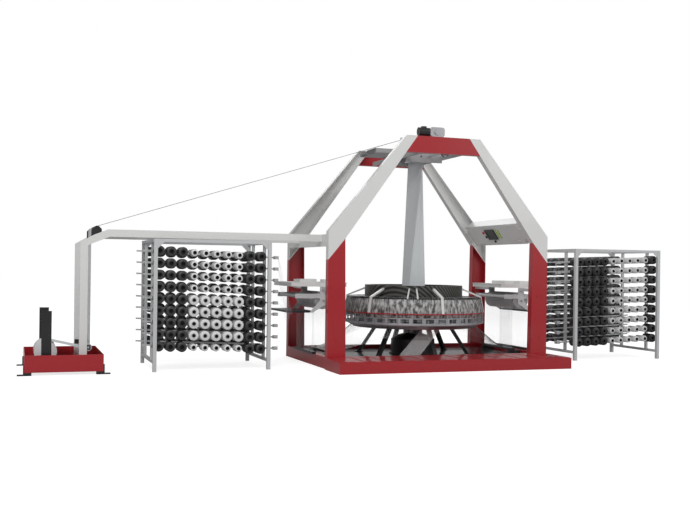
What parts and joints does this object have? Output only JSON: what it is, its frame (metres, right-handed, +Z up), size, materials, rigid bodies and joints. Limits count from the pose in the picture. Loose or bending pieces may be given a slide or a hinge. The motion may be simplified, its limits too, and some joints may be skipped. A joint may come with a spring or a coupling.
{
  "type": "circular loom",
  "caption": "Circular loom with an A-shaped gantry, ring loom head, take-up rollers, two bobbin creels and a floor-standing fabric winder.",
  "frame": {"origin": "on the floor under the loom head's upright axis", "axes": "+X to the right-hand creel, +Y to the back, +Z up"},
  "size_m": [10.233, 2.829, 3.567],
  "materials": {
    "red_paint": "gloss",
    "white_paint": "gloss",
    "grey_paint": "satin",
    "black_paint": "satin",
    "red_plastic": "gloss",
    "green_plastic": "satin",
    "tread_plate": "satin",
    "cast_aluminium": "satin",
    "dark_motor": "satin",
    "black_yarn": "satin",
    "white_yarn": "satin",
    "woven_tape": "satin",
    "shuttle_plastic": "satin",
    "bright_steel": "polished"
  },
  "bodies": {
    "frame": {"base_frame": "red_paint", "base_ring": "cast_aluminium", "black_bobbins": "black_yarn", "cabinet_shell": "white_paint", "centre_column": "bright_steel", "cover_ring": "black_paint", "creel_frames": "grey_paint", "drive_housing": "black_paint", "fabric": "woven_tape", "floor_plate": "grey_paint", "gearbox": "cast_aluminium", "guide_hoop": "bright_steel", "hoop_brackets": "black_paint", "left_tie_beam": "white_paint", "let_off_frames": "grey_paint", "level_bars": "grey_paint", "lower_track": "cast_aluminium", "platform_box": "black_paint", "platform_tread": "tread_plate", "posts": "red_paint", "rafters": "white_paint", "red_band": "red_paint", "reed": "bright_steel", "rod_frames": "bright_steel", "support_legs": "black_paint", "take_up_chain": "bright_steel", "take_up_frame": "grey_paint", "take_up_motor": "dark_motor", "tape_guides": "black_paint", "top_beams": "white_paint", "upper_track": "white_paint", "warp_tapes": "woven_tape", "white_bobbins": "white_yarn", "winder_arms": "white_paint", "winder_base": "grey_paint", "winder_feet": "black_paint", "winder_plates": "black_paint", "window_band": "cast_aluminium", "yarn_trays": "white_paint"},
    "shuttle_drive": {"shuttle_rotor": "cast_aluminium", "shuttles": "shuttle_plastic", "weft_bobbins": "white_yarn"},
    "heald_ring_a": {"heald_set_a": "bright_steel"},
    "heald_ring_b": {"heald_set_b": "bright_steel"},
    "door": {"cabinet_door": "white_paint", "display_unit": "black_paint", "green_keys": "green_plastic"},
    "stop_key": {"stop_button": "red_plastic"},
    "start_key": {"start_button": "black_paint"},
    "knob": {"mode_knob": "black_paint"},
    "draw_roller_body": {"draw_roller": "bright_steel"},
    "nip_roller_body": {"nip_roller": "bright_steel"},
    "top_guide_roller_body": {"top_guide_roller": "bright_steel"},
    "left_let_off_drum_body": {"left_let_off_drum": "bright_steel"},
    "right_let_off_drum_body": {"right_let_off_drum": "bright_steel"},
    "elbow_roller_body": {"elbow_roller": "bright_steel"},
    "spreader_roller_body": {"spreader_roller": "bright_steel"},
    "fabric_roll_body": {"fabric_roll": "woven_tape"},
    "front_drive_roller_body": {"front_drive_roller": "bright_steel"},
    "back_drive_roller_body": {"back_drive_roller": "bright_steel"}
  },
  "joints": [
    {"name": "shuttle_spin", "type": "hinge", "parent": "frame", "child": "shuttle_drive", "pos_m": [0, 0, 0], "axis": [0, 0, 1], "continuous": true},
    {"name": "heald_a_lift", "type": "slide", "parent": "frame", "child": "heald_ring_a", "axis": [0, 0, 1], "range_m": [-0.025, 0.025]},
    {"name": "heald_b_lift", "type": "slide", "parent": "frame", "child": "heald_ring_b", "axis": [0, 0, 1], "range_m": [-0.025, 0.025]},
    {"name": "door_hinge", "type": "hinge", "parent": "frame", "child": "door", "pos_m": [1.33326, 0, 2.15381], "axis": [0, 1, 0], "range_deg": [0, 90]},
    {"name": "stop_press", "type": "slide", "parent": "door", "child": "stop_key", "axis": [0.8116, 0, 0.5842], "range_m": [0, 0.0035], "stiffness_N_per_m": 400},
    {"name": "start_press", "type": "slide", "parent": "door", "child": "start_key", "axis": [0.8116, 0, 0.5842], "range_m": [0, 0.0035], "stiffness_N_per_m": 400},
    {"name": "knob_turn", "type": "hinge", "parent": "door", "child": "knob", "pos_m": [1.50419, 0.08, 1.91928], "axis": [-0.8116, 0, -0.5842], "range_deg": [-45, 45]},
    {"name": "draw_spin", "type": "hinge", "parent": "frame", "child": "draw_roller_body", "pos_m": [0.0763, 0, 3.19], "axis": [0, 1, 0], "continuous": true},
    {"name": "nip_spin", "type": "hinge", "parent": "frame", "child": "nip_roller_body", "pos_m": [-0.0513, 0, 3.19], "axis": [0, 1, 0], "continuous": true},
    {"name": "top_guide_spin", "type": "hinge", "parent": "frame", "child": "top_guide_roller_body", "pos_m": [-0.0413, 0, 3.497], "axis": [0, 1, 0], "continuous": true},
    {"name": "left_drum_spin", "type": "hinge", "parent": "frame", "child": "left_let_off_drum_body", "pos_m": [-1.66, 0, 0.96], "axis": [0, 1, 0], "continuous": true},
    {"name": "right_drum_spin", "type": "hinge", "parent": "frame", "child": "right_let_off_drum_body", "pos_m": [1.66, 0, 0.96], "axis": [0, 1, 0], "continuous": true},
    {"name": "elbow_spin", "type": "hinge", "parent": "frame", "child": "elbow_roller_body", "pos_m": [-4.93, 0, 1.925], "axis": [0, 1, 0], "continuous": true},
    {"name": "spreader_spin", "type": "hinge", "parent": "frame", "child": "spreader_roller_body", "pos_m": [-5.0276, 0, 0.335], "axis": [0, 1, 0], "continuous": true},
    {"name": "fabric_roll_spin", "type": "hinge", "parent": "frame", "child": "fabric_roll_body", "pos_m": [-5.56, 0, 0.252], "axis": [0, 1, 0], "continuous": true},
    {"name": "front_drive_spin", "type": "hinge", "parent": "frame", "child": "front_drive_roller_body", "pos_m": [-5.44, 0, 0.0979], "axis": [0, 1, 0], "continuous": true},
    {"name": "back_drive_spin", "type": "hinge", "parent": "frame", "child": "back_drive_roller_body", "pos_m": [-5.68, 0, 0.0979], "axis": [0, 1, 0], "continuous": true}
  ],
  "couplings": [
    {"joint": "heald_b_lift", "follows": "heald_a_lift", "ratio": -1},
    {"joint": "nip_spin", "follows": "draw_spin", "ratio": -1.5},
    {"joint": "front_drive_spin", "follows": "fabric_roll_spin", "ratio": -3.3333},
    {"joint": "back_drive_spin", "follows": "fabric_roll_spin", "ratio": -3.3333}
  ]
}
